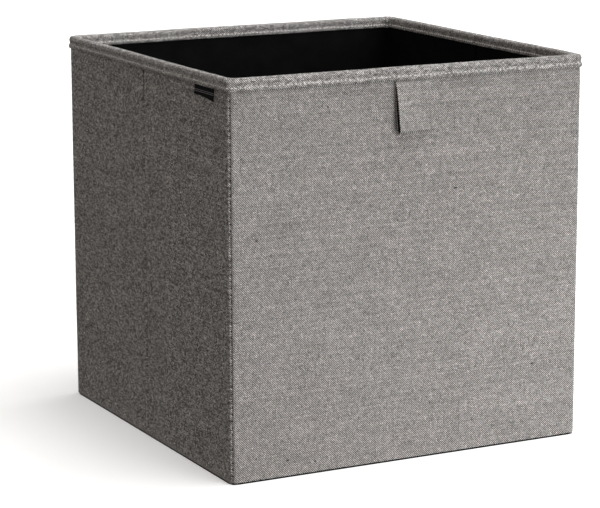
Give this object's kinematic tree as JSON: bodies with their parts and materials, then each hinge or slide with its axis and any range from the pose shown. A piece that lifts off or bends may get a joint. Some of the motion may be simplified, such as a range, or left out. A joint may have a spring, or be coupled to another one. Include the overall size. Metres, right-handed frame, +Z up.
{
  "type": "foldable fabric storage bin",
  "caption": "Square open-topped storage bin of cloth over stiffening boards, with a bound rim, a pull tab and side walls that crease and fold inwards.",
  "frame": {"origin": "the underside of the floor cloth, in the middle of the bin", "axes": "+Z up, -Y towards the front wall that carries the pull tab, -X towards the side wall that carries the label"},
  "size_m": [0.322, 0.327, 0.321],
  "materials": {
    "cover_cloth": "matte woven cloth of mixed light and dark grey yarns",
    "binding_cloth": "the cover's cloth folded over the rim and stitched",
    "lining_cloth": "black non-woven cloth with a fine embossed dot",
    "floor_cloth": "black non-woven cloth",
    "label_cloth": "close black ribbon weave with two plain pale stripes",
    "grey_board": "uncoated grey board"
  },
  "bodies": {
    "front_wall": {"front_cover": "cover_cloth", "front_board": "grey_board", "front_lining": "lining_cloth", "front_binding": "binding_cloth", "floor_cloth": "floor_cloth"},
    "left_front_wall": {"left_front_cover": "cover_cloth", "left_front_board": "grey_board", "left_front_lining": "lining_cloth", "left_front_binding": "binding_cloth", "side_label": "label_cloth"},
    "left_rear_wall": {"left_rear_cover": "cover_cloth", "left_rear_board": "grey_board", "left_rear_lining": "lining_cloth", "left_rear_binding": "binding_cloth"},
    "back_wall": {"back_cover": "cover_cloth", "back_board": "grey_board", "back_lining": "lining_cloth", "back_binding": "binding_cloth"},
    "right_front_wall": {"right_front_cover": "cover_cloth", "right_front_board": "grey_board", "right_front_lining": "lining_cloth", "right_front_binding": "binding_cloth"},
    "right_rear_wall": {"right_rear_cover": "cover_cloth", "right_rear_board": "grey_board", "right_rear_lining": "lining_cloth", "right_rear_binding": "binding_cloth"},
    "base_flap": {"base_sleeve": "lining_cloth", "base_board": "grey_board"},
    "pull_tab": {"pull_tab": "cover_cloth"}
  },
  "joints": [
    {"name": "left_front_fold", "type": "hinge", "parent": "front_wall", "child": "left_front_wall", "pos_m": [-0.1544, -0.151, 0], "axis": [0, 0, -1], "range_deg": [0, 89]},
    {"name": "left_crease_fold", "type": "hinge", "parent": "left_front_wall", "child": "left_rear_wall", "pos_m": [-0.1612, 0, 0], "axis": [0, 0, 1], "range_deg": [0, 178]},
    {"name": "left_rear_fold", "type": "hinge", "parent": "left_rear_wall", "child": "back_wall", "pos_m": [-0.1544, 0.151, 0], "axis": [0, 0, -1], "range_deg": [0, 89]},
    {"name": "right_front_fold", "type": "hinge", "parent": "front_wall", "child": "right_front_wall", "pos_m": [0.1544, -0.151, 0], "axis": [0, 0, 1], "range_deg": [0, 89]},
    {"name": "right_crease_fold", "type": "hinge", "parent": "right_front_wall", "child": "right_rear_wall", "pos_m": [0.1612, 0, 0], "axis": [0, 0, -1], "range_deg": [0, 178]},
    {"name": "base_lift", "type": "hinge", "parent": "front_wall", "child": "base_flap", "pos_m": [0, -0.1544, 0.0037], "axis": [1, 0, 0], "range_deg": [0, 90]},
    {"name": "tab_swing", "type": "hinge", "parent": "front_wall", "child": "pull_tab", "pos_m": [0.001, -0.1613, 0.3102], "axis": [-1, 0, 0], "range_deg": [0, 100]}
  ],
  "couplings": [
    {"joint": "left_crease_fold", "follows": "left_front_fold", "ratio": 2},
    {"joint": "left_rear_fold", "follows": "left_front_fold", "ratio": 1},
    {"joint": "right_front_fold", "follows": "left_front_fold", "ratio": 1},
    {"joint": "right_crease_fold", "follows": "left_front_fold", "ratio": 2}
  ]
}
